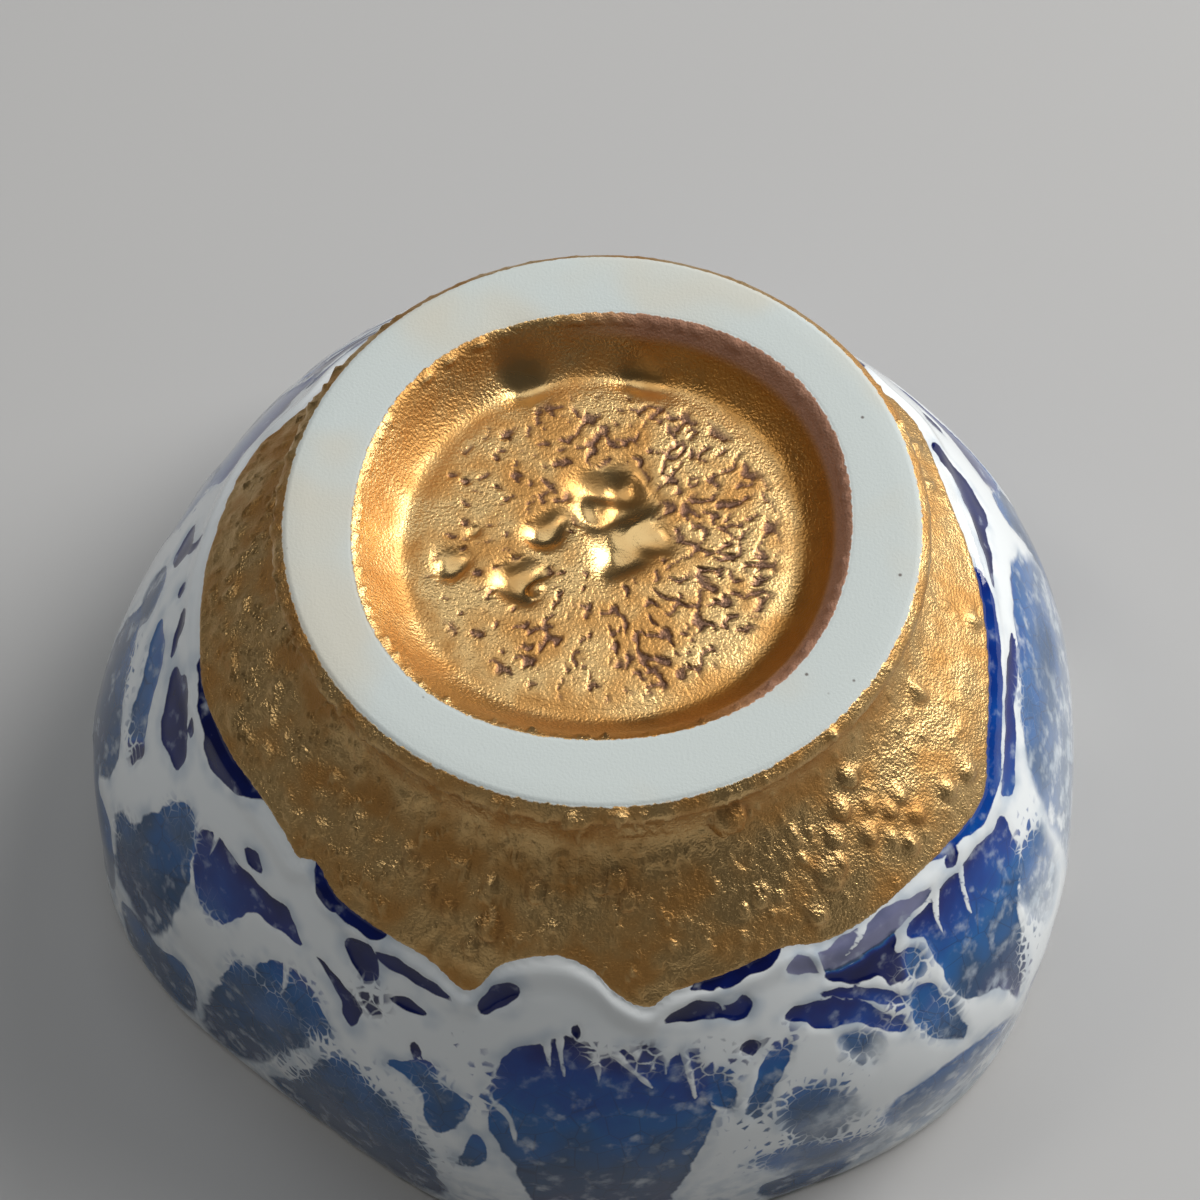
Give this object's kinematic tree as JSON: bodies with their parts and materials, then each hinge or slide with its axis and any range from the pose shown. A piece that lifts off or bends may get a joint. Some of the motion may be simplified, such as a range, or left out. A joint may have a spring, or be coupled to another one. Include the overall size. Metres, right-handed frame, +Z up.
{
  "type": "sake cup",
  "caption": "Hand-pinched porcelain sake cup resting mouth down, with marbled blue and white glaze, a gold lustre foot zone and a bare foot ring.",
  "frame": {"origin": "centre of the cup's bounding box at table level, where the rim rests", "axes": "+Z up from the table through the foot ring, -Y towards the viewer of the picture, +X to that viewer's right"},
  "size_m": [0.0724, 0.0742, 0.041],
  "materials": {
    "glazed_porcelain": "gloss glazed porcelain, white lacing over cobalt, with burnished gold lustre at the foot and a bare matt foot ring"
  },
  "bodies": {
    "root": {"sake_cup": "glazed_porcelain"}
  },
  "joints": []
}
